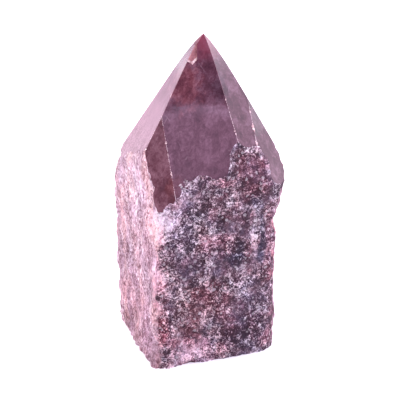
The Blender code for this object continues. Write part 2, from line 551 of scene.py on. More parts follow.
def add_marks(
    sheet: NodeSheet, patterns: RockPatterns, place: Socket, marks: Iterable[Mark]
) -> tuple[Amount, Socket]:
    """Sums what patches do to a finish.

    Args:
        sheet: The material's sheet.
        patterns: The shared node groups.
        place: The place in millimetres.
        marks: The patches.

    Returns:
        How much paler the rock is there, and the tint that it is multiplied by.
    """
    lift, tint = 0.0, WHITE
    for mark in marks:
        mask = sheet.group(patterns.mark, Place=place, Centre=mark.centre, Reach=mark.reach)["Mask"]
        lift = mask * mark.lift + lift
        tint = sheet.blend(mask, tint, mark.tint)
    return lift, tint


@dataclass(frozen=True)
class BrokenRock(Finish):
    """The rough finish: pale grains in a dark mauve ground, and pink streaks on the edges of the layers."""

    cleavage: tuple[tuple[float, Colour], ...] = (
        (0.13, (0.038, 0.016, 0.029)),
        (0.33, (0.088, 0.047, 0.071)),
        (0.46, (0.185, 0.118, 0.155)),
        (0.60, (0.362, 0.258, 0.317)),
        (0.80, (0.670, 0.540, 0.615)),
        (1.00, (0.940, 0.840, 0.895)),
    )
    layer_edges: tuple[tuple[float, Colour], ...] = (
        (0.04, (0.165, 0.072, 0.100)),
        (0.24, (0.350, 0.190, 0.238)),
        (0.40, (0.500, 0.305, 0.370)),
        (0.56, (0.630, 0.420, 0.500)),
        (0.80, (0.830, 0.640, 0.735)),
        (1.00, (0.960, 0.820, 0.880)),
    )
    value_room: float = 0.75
    ground: tuple[tuple[float, Colour], ...] = (
        (0.34, (0.84, 0.97, 1.09)),
        (0.43, (0.96, 1.00, 1.03)),
        (0.50, (1.04, 0.99, 0.97)),
        (0.56, (1.12, 0.97, 0.92)),
        (0.64, (1.22, 0.88, 0.93)),
    )
    blue: Colour = (0.90, 0.95, 1.08)
    maroon: Colour = (1.22, 0.86, 0.92)
    peach: Colour = (1.06, 0.94, 0.88)
    lilac: Colour = (0.98, 1.00, 1.06)
    rim_lift: float = 0.20
    marks: tuple[Mark, ...] = (
        Mark((-18.5, 3.0, 58.0), (6.0, 14.0, 13.0), (1.02, 1.05, 1.04), 0.15),
        Mark((-18.5, -11.0, 44.0), (4.0, 5.0, 12.0), (1.06, 0.98, 0.95), 0.05),
        Mark((-18.5, 0.0, 10.0), (6.0, 14.0, 14.0), (1.02, 0.95, 0.97), -0.12),
        Mark((-16.6, -15.4, 48.8), (5.2, 5.0, 6.8), (1.10, 1.05, 1.07), 0.48),
        Mark((-12.0, -16.4, 54.5), (4.5, 3.0, 6.0), (1.12, 0.96, 1.02), 0.18),
        Mark((-7.0, -16.4, 20.0), (9.0, 4.0, 13.0), (1.14, 0.98, 0.90), 0.0),
        Mark((-15.6, -15.8, 17.0), (2.4, 4.0, 13.0), (1.24, 0.88, 0.87), 0.06),
        Mark((-16.9, -15.4, 31.0), (2.0, 3.0, 11.0), (1.25, 0.94, 0.97), 0.26),
        Mark((-5.0, -16.4, 3.0), (10.5, 4.0, 6.5), (1.32, 0.96, 1.02), 0.38),
        Mark((14.4, -16.2, 39.0), (1.7, 3.5, 10.0), (0.70, 0.98, 1.14), -0.30),
        Mark((6.4, -16.6, 36.0), (3.2, 3.0, 4.5), (0.74, 0.98, 1.14), -0.20),
        Mark((10.0, -16.6, 9.0), (7.0, 4.0, 8.0), (0.85, 1.00, 1.10), -0.10),
        Mark((18.4, -14.5, 36.0), (3.4, 6.0, 19.0), (1.28, 0.87, 0.95), 0.06),
        Mark((0.0, -16.6, 39.0), (6.5, 3.0, 4.5), (1.12, 0.95, 0.99), 0.16),
        Mark((21.8, -9.0, 30.0), (4.0, 13.0, 36.0), (0.64, 0.52, 0.58), -0.32),
        Mark((17.5, -14.0, 60.0), (4.0, 6.0, 4.5), (0.84, 0.98, 1.12), -0.16),
        Mark((22.6, -9.5, 61.0), (1.8, 5.0, 9.0), (1.22, 0.92, 1.02), 0.22),
        Mark((12.1, -16.6, 43.0), (1.8, 3.5, 10.0), (1.05, 1.03, 1.06), 0.42),
        Mark((0.0, -16.9, 62.5), (4.0, 3.0, 3.5), (1.25, 0.90, 0.98), 0.16),
    )
    face_stretch: Triple = (1.0, 1.5, 0.92)
    edge_stretch: Triple = (1.55, 1.55, 0.62)
    upright: Triple = (1.0, 1.0, 0.45)
    patch_stretch: Triple = (1.0, 1.0, 0.8)
    slow_weave: Triple = (0.085, 3.0, 0.6)
    patch_weave: Triple = (0.26, 3.0, 0.7)
    drawn_weave: Triple = (0.16, 3.0, 0.6)
    thread_weave: tuple[float, float] = (2.4, 1.0)
    face_stops: Triple = (0.38, 0.50, 0.60)
    edge_stops: Triple = (0.38, 0.50, 0.62)
    dark_span: tuple[float, float] = (0.95, 0.45)
    edge_calm: float = 0.82
    edge_pale: float = 0.13
    thread_gain: float = 1.3
    streak_gain: float = 0.8
    ground_strength: float = 0.80
    tint_on_pale: float = 0.45
    # Painted glint: the pale colour that the few glinting flakes get in their base colour.
    glint_colour: Colour = (0.80, 0.72, 0.80)
    glint: float = 0.35
    glint_loss_on_edges: float = 0.28
    dull: float = 0.64
    glint_gloss: float = 0.30
    flake_scale: float = 1.3
    flake_tilt: float = 0.60
    bump_strength: float = 0.9
    bump_depth: float = 0.00030
    specular: float = 0.22

    def build(self, patterns: RockPatterns) -> bpy.types.Material:
        """Makes the material.

        Args:
            patterns: The shared node groups.

        Returns:
            The material.
        """
        material, sheet, shader, place = self.start("broken_mica_rock")
        edge_on = sheet.group(patterns.side, Place=place)["Edge On"]
        face = sheet.group(patterns.grain, Place=place, Stretch=self.face_stretch)["Value"]
        edge = sheet.group(patterns.grain, Place=place, Stretch=self.edge_stretch)["Value"]
        near = sheet.group(patterns.polish_margin, Place=place)["Near"]
        upright = sheet.vectors("MULTIPLY", place, self.upright)
        slow = sheet.cloud(place, *self.slow_weave)
        patch = sheet.cloud(sheet.vectors("MULTIPLY", place, self.patch_stretch), *self.patch_weave)
        drawn_out = sheet.cloud(upright, *self.drawn_weave)
        threads = sheet.waver(upright, self.thread_weave, self.thread_gain)
        lift, tint = add_marks(sheet, patterns, place, self.marks)
        face = face + lift + near * self.rim_lift
        edge = edge * self.edge_calm + self.edge_pale + threads + lift + (drawn_out - 0.5) * self.streak_gain
        ground_share = sheet.ease(face, *self.dark_span) * (1.0 - self.tint_on_pale) + self.tint_on_pale
        face_tint = sheet.ramp(slow, zip(self.face_stops, (self.blue, WHITE, self.maroon)))
        face_tint = sheet.tinted(face_tint, sheet.ramp(patch, self.ground), self.ground_strength)
        edge_tint = sheet.ramp(drawn_out, zip(self.edge_stops, (self.lilac, WHITE, self.peach)))
        cleavage = sheet.tinted(sheet.ramp(face * self.value_room, self.cleavage), face_tint, ground_share)
        layers = sheet.tinted(sheet.ramp(edge * self.value_room, self.layer_edges), edge_tint)
        colour = sheet.tinted(sheet.blend(edge_on, cleavage, layers), tint, ground_share)
        flakes = sheet.group(patterns.flakes, Place=place, Scale=self.flake_scale, Tilt=self.flake_tilt)
        glint = flakes["Glint"] * (self.glint - edge_on * self.glint_loss_on_edges)
        # Painted glint: the glinting mica flakes are made pale in the base colour, beside their real lower
        # roughness.
        colour = sheet.blend(glint, colour, self.glint_colour)
        bump = {"Height": face, "Normal": flakes["Normal"], "Strength": self.bump_strength}
        bump["Distance"] = self.bump_depth
        self.finish(sheet, shader, colour, self.dull - flakes["Glint"] * self.glint_gloss, bump)
        shader.inputs["Specular IOR Level"].default_value = self.specular
        return material


@dataclass(frozen=True)
class PolishedRock(Finish):
    """The lapped and waxed finish, which shows the rock dark, wet-looking and softly mottled."""

    deep: Colour = (0.042, 0.014, 0.025)
    body: Colour = (0.080, 0.029, 0.047)
    cloud: Colour = (0.148, 0.071, 0.106)
    tip_red: Colour = (0.215, 0.042, 0.072)
    tip_start: float = 92.5
    vein: Colour = (0.420, 0.260, 0.320)
    haze: Colour = (0.330, 0.175, 0.230)
    haze_dash: Colour = (0.190, 0.080, 0.110)
    # Painted glow: the front-left corner face is made paler and warmer where light from the left shines into
    # the stone.
    corner_glow: Colour = (1.30, 1.26, 1.10)
    haze_top: float = 96.0
    haze_foot: float = 66.0
    wax: float = 0.15
    wax_roughness: float = 0.02
    marks: tuple[Mark, ...] = (
        Mark((-4.8, -5.2, 87.0), (4.8, 6.0, 7.5), (1.58, 1.36, 1.20)),
        Mark((-2.9, -4.4, 88.6), (1.1, 3.0, 2.4), (1.30, 0.95, 0.86)),
        Mark((4.6, -8.9, 86.0), (3.0, 3.5, 4.2), (0.66, 0.70, 0.72)),
        Mark((-12.0, -15.2, 61.0), (3.2, 2.6, 4.5), (0.86, 0.66, 0.62)),
    )
    grain_stretch: Triple = (1.0, 1.3, 0.70)
    streak_stretch: Triple = (1.5, 1.5, 0.7)
    mottle_shares: tuple[float, float] = (0.60, 0.40)
    mottle_stops: Triple = (0.36, 0.48, 0.62)
    upright: Triple = (1.0, 1.0, 0.45)
    wander: tuple[Triple, float] = ((0.16, 4.0, 0.6), 14.0)
    tip_depth: float = 8.0
    tip_strength: float = 0.70
    vein_strength: float = 0.22
    vein_scale: float = 0.10
    vein_fade: tuple[float, float] = (0.016, 0.0)
    vein_patches: tuple = ((0.5, 2.0), (0.50, 0.66))
    dash_values: tuple[float, float] = (0.56, 0.30)
    dash_span: tuple[float, float] = (80.0, 67.0)
    haze_at_tip: float = 0.15
    haze_low: float = 0.70
    haze_matt: float = 0.22
    uneven_matt: float = 0.025
    uneven_patches: tuple = ((0.22, 3.0), (0.42, 0.70))
    wave_weave: tuple[float, float] = (0.045, 0.0)
    wave_height: float = 30.0
    bump_strength: float = 0.03
    bump_depth: float = 0.0002
    stone_ior: float = 1.54
    wax_ior: float = 1.5

    def build(self, patterns: RockPatterns, name: str, roughness: float) -> bpy.types.Material:
        """Makes the material.

        Args:
            patterns: The shared node groups.
            name: The material's name.
            roughness: How matt the surface is.

        Returns:
            The material.
        """
        material, sheet, shader, place = self.start(name)
        grain = sheet.group(patterns.grain, Place=place, Stretch=self.grain_stretch)
        mottle = grain["Cloud"] * self.mottle_shares[0] + grain["Fine"] * self.mottle_shares[1]
        colour = sheet.ramp(mottle, zip(self.mottle_stops, (self.deep, self.body, self.cloud)))
        colour = sheet.tinted(colour, add_marks(sheet, patterns, place, self.marks)[1])
        on_corner = sheet.group(patterns.on_corner, Place=place)["Mask"]
        # Painted glow: light from the left shining into the front-left corner face, tinted into its colour.
        colour = sheet.blend(on_corner, colour, sheet.tinted(colour, self.corner_glow))
        height = sheet.parts(place)[2]
        wandering = height + sheet.waver(place, *self.wander)
        high = sheet.ease(wandering, self.tip_start, self.tip_start + self.tip_depth)
        colour = sheet.blend(high * self.tip_strength, colour, self.tip_red)
        voronoi = {"Vector": sheet.vectors("MULTIPLY", place, self.upright), "Scale": self.vein_scale}
        cracks = sheet.add("ShaderNodeTexVoronoi", voronoi, feature="DISTANCE_TO_EDGE").outputs["Distance"]
        line = sheet.ease(cracks, *self.vein_fade) * sheet.fade(place, *self.vein_patches)
        colour = sheet.blend(line * self.vein_strength, colour, self.vein)
        on_left = sheet.group(patterns.on_left, Place=place)["Mask"]
        thick = sheet.ease(wandering, self.haze_top, self.haze_foot) * self.haze_low + self.haze_at_tip
        haze = on_left * thick
        streaks = sheet.group(patterns.grain, Place=place, Stretch=self.streak_stretch)["Value"]
        dashes = sheet.ease(streaks, *self.dash_values) * sheet.ease(height, *self.dash_span)
        colour = sheet.blend(haze, colour, sheet.blend(dashes, self.haze, self.haze_dash))
        uneven = sheet.fade(place, *self.uneven_patches) * self.uneven_matt
        waves = sheet.cloud(place, *self.wave_weave) * self.wave_height + grain["Cloud"]
        bump = {"Height": waves, "Strength": self.bump_strength, "Distance": self.bump_depth}
        self.finish(sheet, shader, colour, uneven + haze * self.haze_matt + roughness, bump)
        wax = {"Coat Weight": self.wax, "Coat Roughness": self.wax_roughness, "Coat IOR": self.wax_ior}
        for socket, value in {"IOR": self.stone_ior, **wax}.items():
            shader.inputs[socket].default_value = value
        return material


@dataclass(frozen=True)
class FreshChip(Finish):
    """The finish of a small fresh break: rosy and sugary, with a pale crushed rim."""

    rose: Colour = (0.200, 0.062, 0.082)
    flesh: Colour = (0.390, 0.165, 0.185)
    crushed: Colour = (0.880, 0.690, 0.720)
    flake_foot: tuple[float, float] = (-1.88, 92.45)
    flake_splay: float = 0.75
    nick_top: float = 88.0
    flake_rim: tuple[float, float] = (0.95, 0.55)
    rim_strength: float = 0.9
    rim_waver: float = 0.6
    rim_patches: tuple = ((1.1, 2.0), (0.34, 0.66))
    nick_fade: float = 2.0
    tone_weave: Triple = (0.8, 4.0, 0.7)
    tone_stops: tuple[float, float] = (0.36, 0.64)
    sugar_weave: Triple = (1.6, 4.0, 0.7)
    matt: tuple[float, float] = (0.5, 0.10)
    bump_strength: float = 0.6
    bump_depth: float = 0.0003

    def build(self) -> bpy.types.Material:
        """Makes the material.

        Returns:
            The material.
        """
        material, sheet, shader, place = self.start("fresh_chip")
        tone = sheet.cloud(place, *self.tone_weave)
        colour = sheet.ramp(tone, zip(self.tone_stops, (self.rose, self.flesh)))
        to_the_right, _, height = sheet.parts(place)
        splay = abs(to_the_right - self.flake_foot[0]) * self.flake_splay
        above = height - self.flake_foot[1] - splay
        rim = sheet.ease(above + tone * self.rim_waver, *self.flake_rim)
        rim *= sheet.fade(place, *self.rim_patches)
        nicks = sheet.ease(height, self.nick_top, self.nick_top - self.nick_fade)
        rim = sheet.maths("MAXIMUM", rim, nicks)
        colour = sheet.blend(rim * self.rim_strength, colour, self.crushed)
        sugar = sheet.cloud(place, *self.sugar_weave)
        bump = {"Height": sugar, "Strength": self.bump_strength, "Distance": self.bump_depth}
        self.finish(sheet, shader, colour, tone * self.matt[0] + self.matt[1], bump)
        return material


@dataclass(frozen=True)
class WornEdge(Finish):
    """The finish of the narrow worn edges between polished faces: rosy, with pale bruises low down."""

    rose: Colour = (0.200, 0.080, 0.110)
    bruise: Colour = (0.820, 0.640, 0.700)
    span: tuple[float, float] = (84.0, 79.0)
    bruised_at_tip: float = 0.15
    bruise_values: tuple[float, float] = (0.34, 0.62)
    matt: tuple[float, float] = (0.40, 0.10)
    bump_strength: float = 0.4
    bump_depth: float = 0.0002

    def build(self, patterns: RockPatterns) -> bpy.types.Material:
        """Makes the material.

        Args:
            patterns: The shared node groups.

        Returns:
            The material.
        """
        material, sheet, shader, place = self.start("worn_edge")
        grain = sheet.group(patterns.grain, Place=place, Stretch=(1.0, 1.0, 1.0))
        low = sheet.ease(sheet.parts(place)[2], *self.span)
        low = low * (1.0 - self.bruised_at_tip) + self.bruised_at_tip
        bruised = sheet.ease(grain["Value"], *self.bruise_values) * low
        colour = sheet.blend(bruised, self.rose, self.bruise)
        bump = {"Height": grain["Fine"], "Strength": self.bump_strength, "Distance": self.bump_depth}
        self.finish(sheet, shader, colour, bruised * self.matt[0] + self.matt[1], bump)
        return material


@dataclass(frozen=True)
class NoiseLayer:
    """One size of unevenness: how wide a feature is, how high it stands and where it is read."""

    size: float
    height: float
    seed: Triple = (0.0, 0.0, 0.0)

    def at(self, point: Vector) -> float:
        """The height at a point."""
        return noise.noise(point / self.size + Vector(self.seed)) * self.height


@dataclass(frozen=True)
class Knob:
    """A knob, or with a negative height a hollow, that stands out on the broken faces."""

    centre: Triple
    reach: Triple
    height: float

    def at(self, point: Vector) -> float:
        """The height at a point, easing to nothing at the knob's reach."""
        away = point - Vector(self.centre)
        share = sum((a / r) ** 2 for a, r in zip(away, self.reach))
        return (1 - share) ** 2 * self.height if share < 1 else 0.0


@dataclass
class RockRelief:
    """The relief of the broken faces, from the block's broad lumps to single grains."""

    layers: tuple[NoiseLayer, ...] = (
        NoiseLayer(0.0130, 0.00055, (2.3, 9.1, 5.6)),
        NoiseLayer(0.0050, 0.00042, (8.4, 1.2, 3.3)),
        NoiseLayer(0.0021, 0.00034),
        NoiseLayer(0.0011, 0.00026, (5.5, 0.7, 8.1)),
    )
    step_size: float = 0.0066
    step_height: float = 0.00038
    step_count: float = 3.4
    step_riser: float = 0.22
    step_middle: float = 0.40
    step_seed: Triple = (4.1, 0.3, 7.7)
    rib: NoiseLayer = NoiseLayer(1.0, 0.00060, (1.7, 5.2, 0.4))
    rib_spacing: float = 0.0021
    rib_length: float = 0.0095
    chunk_size: float = 0.00155
    chunk_height: float = 0.00034
    chunk_tilt: float = 0.30
    chunk_seed: float = 7.31
    chunk_stretch: Triple = (1.0, 1.0, 0.42)
    knobs: tuple[Knob, ...] = (
        Knob((0.0215, -0.0105, 0.0555), (0.0120, 0.0130, 0.0115), 0.0027),
        Knob((0.0160, -0.0165, 0.0680), (0.0075, 0.0075, 0.0085), -0.0020),
        Knob((0.0200, -0.0135, 0.0420), (0.0100, 0.0090, 0.0040), -0.0008),
        Knob((0.0210, -0.0120, 0.0310), (0.0080, 0.0080, 0.0070), 0.0006),
        Knob((0.0205, -0.0130, -0.0020), (0.0100, 0.0100, 0.0080), -0.0006),
        Knob((0.0070, -0.0180, 0.0000), (0.0120, 0.0080, 0.0080), 0.0011),
        Knob((-0.0180, -0.0155, 0.0475), (0.0050, 0.0050, 0.0050), -0.0012),
        Knob((0.0118, -0.0172, 0.0460), (0.0020, 0.0060, 0.0110), -0.0011),
        Knob((0.0020, -0.0165, 0.0630), (0.0075, 0.0060, 0.0065), 0.0014),
        Knob((-0.0195, 0.0160, 0.0600), (0.0095, 0.0095, 0.0100), -0.0026),
        Knob((0.0030, 0.0155, 0.0330), (0.0100, 0.0060, 0.0120), -0.0013),
        Knob((-0.0120, 0.0155, 0.0150), (0.0080, 0.0060, 0.0080), 0.0011),
        Knob((0.0205, 0.0060, 0.0220), (0.0060, 0.0070, 0.0110), -0.0012),
    )

    def steps(self, point: Vector) -> float:
        """Flat steps where layers broke away.

        Args:
            point: Where on the block.

        Returns:
            The height of the step there.
        """
        level = noise.noise(point / self.step_size + Vector(self.step_seed)) * self.step_count
        base = math.floor(level)
        rise = min(1.0, (level - base) / self.step_riser)
        return (base + self.step_middle + rise * rise * (3 - 2 * rise)) * self.step_height

    def ribs(self, point: Vector) -> float:
        """Upright ribs where the edges of the layers stand out.

        Args:
            point: Where on the block.

        Returns:
            The height of the rib there.
        """
        stretched = (point.x / self.step_size, point.y / self.rib_spacing, point.z / self.rib_length)
        return self.rib.at(Vector(stretched))

    def chunks(self, point: Vector, stretch: Triple) -> float:
        """Angular grains, each with its own height and tilt.

        Args:
            point: Where on the block.
            stretch: How the grains are drawn out.

        Returns:
            The height of the grain there.
        """
        place = Vector([part * share for part, share in zip(point, stretch)]) / self.chunk_size
        centre = noise.voronoi(place)[1][0]
        random = noise.cell_vector(centre * self.chunk_seed)
        away = place - centre
        tilt = (random - Vector(HALVES)).dot(away) * 2
        return (random.x - 0.5 + tilt * self.chunk_tilt) * self.chunk_height

    def at(self, point: Vector, outward: Vector) -> float:
        """The whole relief.

        Args:
            point: Where on the plain block.
            outward: Which way that face looks.

        Returns:
            How far the broken surface stands out there.
        """
        along_layers = abs(outward.y)
        relief = sum(layer.at(point) for layer in self.layers) + sum(knob.at(point) for knob in self.knobs)
        relief += self.steps(point) * along_layers + self.ribs(point) * (1 - along_layers)
        flat = self.chunks(point, (1.0, 1.0, 1.0)) * along_layers
        return relief + flat + self.chunks(point, self.chunk_stretch) * (1 - along_layers)


@dataclass
class BlockPlan:
    """The plan of the rough block, which changes evenly from its foot to its shoulder."""

    foot: tuple = ((-0.0186, -0.0153), (0.0207, -0.0178), (0.0204, 0.0152), (-0.0189, 0.0154))
    shoulder: tuple = ((-0.0168, -0.0154), (0.0207, -0.0174), (0.0212, 0.0150), (-0.0198, 0.0155))
    shoulder_height: float = 0.070
    corner_radii: tuple = (0.0012, 0.0065, 0.0040, 0.0022)
    arc_steps: int = 12

    def rounded_corner(self, corner: Vector, before: Vector, after: Vector, radius: float) -> list[Vector]:
        """Rounds a corner.

        Args:
            corner: The sharp corner.
            before: The corner before it.
            after: The corner after it.
            radius: The radius of the arc.

        Returns:
            Points of the arc.
        """
        into, out = (before - corner).normalized(), (after - corner).normalized()
        half = into.angle(out) / 2
        centre = corner + (into + out).normalized() * (radius / math.sin(half))
        start = corner + into * (radius / math.tan(half)) - centre
        turn = math.pi - 2 * half
        steps = range(self.arc_steps + 1)
        return [centre + Matrix.Rotation(turn * i / self.arc_steps, 3, "Z") @ start for i in steps]

    def outline(self, corners: tuple, count: int) -> list[tuple[Vector, Vector]]:
        """Evenly spaced points of one plan.

        Args:
            corners: The plan's corners.
            count: How many points.

        Returns:
            Each point with its outward direction, anticlockwise from above.
        """
        sharp = [Vector((x, y, 0)) for x, y in corners]
        path: list[Vector] = []
        for i, radius in enumerate(self.corner_radii):
            path += self.rounded_corner(sharp[i], sharp[i - 1], sharp[(i + 1) % 4], radius)
        path.append(path[0])
        lengths = [(b - a).length for a, b in zip(path, path[1:])]
        spacing = sum(lengths) / count
        stations, walked, side = [], 0.0, 0
        for i in range(count):
            while walked + lengths[side] < i * spacing:
                walked += lengths[side]
                side += 1
            stations.append(path[side].lerp(path[side + 1], (i * spacing - walked) / lengths[side]))
        outward = []
        for i in range(count):
            tangent = stations[(i + 1) % count] - stations[i - 1]
            outward.append(Vector((tangent.y, -tangent.x, 0)).normalized())
        return list(zip(stations, outward))


@dataclass(frozen=True)
class PolishedFace:
    """A flat ground face: the way it looks, how steep it is and how far outside the tip it stands."""

    bearing: float
    slope: float
    outside: float = 0.0

    def normal(self) -> Vector:
        """The outward normal."""
        bearing, slope = math.radians(self.bearing), math.radians(self.slope)
        level = math.sin(slope)
        return Vector((level * math.sin(bearing), -level * math.cos(bearing), math.cos(slope)))

    def point(self, tip: Vector) -> Vector:
        """A point on the face."""
        return tip + self.normal() * self.outside


@dataclass(frozen=True)
class Nick:
    """A small bite out of a polished edge: where, how long, wide and deep it is, in metres."""

    first: str
    second: str
    height: float
    length: float
    width: float
    depth: float
    lean: float = 0.5


@dataclass
class MineralPoint:
    """The stone: a rough column sawn at the foot, ground to its polished faces, lapped and chipped."""

    height: float = 0.100
    tip: Vector = field(default_factory=lambda: Vector((0.0026, -0.0011, 0.1026)))
    lap_start: float = 0.084
    lap_power: int = 3
    lap_band: float = 0.00075
    faces: dict[str, PolishedFace] = field(
        default_factory=lambda: {
            "left": PolishedFace(-104.0, 60.9),
            "front": PolishedFace(-19.7, 67.0),
            "right_front": PolishedFace(22.8, 62.5),
            "right_back": PolishedFace(86.7, 63.0),
            "back": PolishedFace(148.0, 62.5),
            "left_back": PolishedFace(-159.8, 64.3),
            "front_left_corner": PolishedFace(-28.0, 68.4, 0.00216),
            "right_corner": PolishedFace(39.7, 66.1, 0.00282),
        }
    )
    plan: BlockPlan = field(default_factory=BlockPlan)
    relief: RockRelief = field(default_factory=RockRelief)
    stations: int = 344
    row_count: int = 200
    blank_foot: float = -0.0030
    blank_spare: float = 0.002
    rough_top: float = 0.0775
    scatter_along: NoiseLayer = NoiseLayer(0.0004, 0.00018, (6.1, 14.7, 2.9))
    scatter_up: NoiseLayer = NoiseLayer(0.0004, 0.00018, (23.3, 7.9, 18.4))
    edge_round: float = 0.00017
    flat_within: float = 0.00001
    weld_within: float = 0.00001
    cut_within: float = 1e-7
    facing_down: float = 0.999
    facing_along: float = 0.9999
    same_plane: float = 0.2
    crease: float = 1.5
    smooth_angle: float = 50.0
    nicks: tuple[Nick, ...] = (
        Nick("left", "front", 0.0845, 0.0020, 0.0010, 0.00014),
        Nick("left", "front_left_corner", 0.0745, 0.0022, 0.0008, 0.00014),
        Nick("left", "front_left_corner", 0.0702, 0.0012, 0.0008, 0.00014),
        Nick("front_left_corner", "front", 0.0722, 0.0013, 0.0007, 0.00014),
        Nick("front_left_corner", "front", 0.0690, 0.0022, 0.0006, 0.00012),
        Nick("front_left_corner", "front", 0.0640, 0.0015, 0.0008, 0.00016),
        Nick("right_front", "right_corner", 0.0738, 0.0036, 0.0019, 0.00026),
        Nick("right_front", "right_corner", 0.0698, 0.0018, 0.0014, 0.00020),
        Nick("right_front", "right_corner", 0.0778, 0.0011, 0.0008, 0.00014),
        Nick("front", "right_front", 0.0748, 0.0020, 0.0009, 0.00016),
        Nick("front", "right_front", 0.0832, 0.0010, 0.0006, 0.00012),
        Nick("right_back", "back", 0.0800, 0.0024, 0.0010, 0.00016),
        Nick("left_back", "left", 0.0770, 0.0018, 0.0010, 0.00016),
    )
    nick_bulk: float = 0.0022
    nick_lumps: float = 2.3
    nick_lump_height: float = 0.60
    nick_seed_step: float = 3.3
    flake_rim: tuple[Triple, ...] = (
        (0.00043, -0.00161, 0.09817),
        (-0.00050, -0.00393, 0.09348),
        (-0.00188, -0.00400, 0.09236),
        (-0.00340, -0.00300, 0.09340),
        (-0.00300, -0.00140, 0.09850),
    )
    flake_middle: Triple = (-0.00150, -0.00300, 0.09500)
    flake_depth: float = 0.00026
    flake_overhang: float = 0.0010
    polished_roughness: float = 0.02
    sawn_roughness: float = 0.45

    def make(self, patterns: RockPatterns) -> bpy.types.Object:
        """Makes the whole stone.

        Args:
            patterns: The shared node groups.

        Returns:
            The finished piece, at the origin.
        """
        stone = self.rough_column()
        self.dress(stone, patterns)
        self.saw_and_grind(stone)
        self.name_surfaces(stone)
        self.round_edges(stone)
        self.lap(stone)
        self.bite(stone, [self.flake_cutter(), *self.nick_cutters()])
        self.set_shading(stone)
        return stone

    def planes(self) -> dict[str, Plane]:
        """A point and the normal of every polished face, by name."""
        return {name: (face.point(self.tip), face.normal()) for name, face in self.faces.items()}

    def rough_column(self) -> bpy.types.Object:
        """Turns a plain column into the rough block, still too long at both ends.

        Returns:
            The block.
        """
        length = self.tip.z + self.blank_spare - self.blank_foot
        bpy.ops.mesh.primitive_cylinder_add(
            vertices=self.stations, radius=0.02, depth=length, location=(0, 0, self.blank_foot + length / 2)
        )
        column = bpy.context.object
        column.name = PIECE_NAME
        bpy.ops.object.transform_apply(location=True, rotation=True, scale=True)
        with editing(column, "DESELECT") as mesh:
            for edge in mesh.edges:
                edge.select_set(abs(edge.verts[0].co.z - edge.verts[1].co.z) > length / 2)
            bmesh.update_edit_mesh(column.data)
            bpy.ops.mesh.subdivide(number_cuts=self.row_count)
        foot = self.plan.outline(self.plan.foot, self.stations)
        shoulder = self.plan.outline(self.plan.shoulder, self.stations)
        for vertex in column.data.vertices:
            turn = math.atan2(vertex.co.y, vertex.co.x) / math.tau
            station = round(turn * self.stations) % self.stations
            row = round((vertex.co.z - self.blank_foot) / length * (self.row_count + 1))
            vertex.co = self.rough_point(foot[station], shoulder[station], row)
        return column

    def rough_point(self, foot: tuple[Vector, Vector], shoulder: tuple[Vector, Vector], row: int) -> Vector:
        """One point of the rough surface.

        Args:
            foot: The point and outward direction of the foot's plan.
            shoulder: The same of the shoulder's plan.
            row: The row, counted from the bottom.

        Returns:
            Where the point lies.
        """
        if row > self.row_count:
            return shoulder[0] + Vector((0, 0, self.tip.z + self.blank_spare))
        height = self.blank_foot + (self.rough_top - self.blank_foot) * row / self.row_count
        outward = foot[1]
        point = foot[0].lerp(shoulder[0], height / self.plan.shoulder_height) + Vector((0, 0, height))
        along, up = Vector((-outward.y, outward.x, 0)), Vector((0, 0, 1))
        scattered = along * self.scatter_along.at(point) + up * self.scatter_up.at(point)
        return point + outward * self.relief.at(point, outward) + scattered

    def saw_and_grind(self, stone: bpy.types.Object) -> None:
        """Cuts the foot and every polished face, each closed with a flat face.

        Args:
            stone: The rough block.
        """
        cuts = [(Vector((0, 0, 0)), Vector((0, 0, -1))), *self.planes().values()]
        with editing(stone):
            for point, normal in cuts:
                bpy.ops.mesh.select_all(action="SELECT")
                away = {"use_fill": True, "clear_outer": True, "threshold": self.cut_within}
                bpy.ops.mesh.bisect(plane_co=point, plane_no=normal, **away)
            bpy.ops.mesh.select_all(action="SELECT")
            bpy.ops.mesh.remove_doubles(threshold=self.weld_within)
            bpy.ops.mesh.normals_make_consistent(inside=False)

    def name_surfaces(self, stone: bpy.types.Object) -> None:
        """Gives every face its kind of surface, and melts the flat ones into whole faces.

        Args:
            stone: The ground stone.
        """
        planes = self.planes().values()
        with editing(stone, "DESELECT") as mesh:
            for face in mesh.faces:
                middle, normal = face.calc_center_median(), face.normal
                face.material_index = Surface.BROKEN
                if middle.z < self.flat_within and normal.z < -self.facing_down:
                    face.material_index = Surface.SAWN
                elif any(self.lies_on(middle, normal, plane) for plane in planes):
                    face.material_index = Surface.POLISHED
                face.select_set(face.material_index != Surface.BROKEN)
            bmesh.update_edit_mesh(stone.data)
            bpy.ops.mesh.dissolve_limited(angle_limit=math.radians(self.same_plane), delimit={"MATERIAL"})

    def lies_on(self, middle: Vector, normal: Vector, plane: Plane) -> bool:
        """Whether a face is part of a ground plane.

        Args:
            middle: The face's middle.
            normal: The face's normal.
            plane: A point and the normal of the plane.

        Returns:
            True where it lies in the plane and looks the same way.
        """
        point, outward = plane
        in_plane = abs((middle - point).dot(outward)) < self.flat_within
        return in_plane and normal.dot(outward) > self.facing_along

    def round_edges(self, stone: bpy.types.Object) -> None:
        """Takes the sharpness off the edges between polished faces.

        Args:
            stone: The ground stone.
        """
        with editing(stone, "DESELECT") as mesh:
            for edge in mesh.edges:
                kinds = {face.material_index for face in edge.link_faces}
                crease = len(edge.link_faces) == 2 and edge.calc_face_angle() > math.radians(self.crease)
                edge.select_set(kinds == {Surface.POLISHED} and crease)
            bmesh.update_edit_mesh(stone.data)
            shape = {"offset": self.edge_round, "segments": 2, "profile": 0.5, "clamp_overlap": True}
            bpy.ops.mesh.bevel(material=Surface.WORN_EDGE, **shape)

    def lapped(self, height: float) -> float:
        """The height of a point once the tip has been lapped down."""
        share = max(0.0, height - self.lap_start) / (self.tip.z - self.lap_start)
        return height - (self.tip.z - self.height) * share**self.lap_power

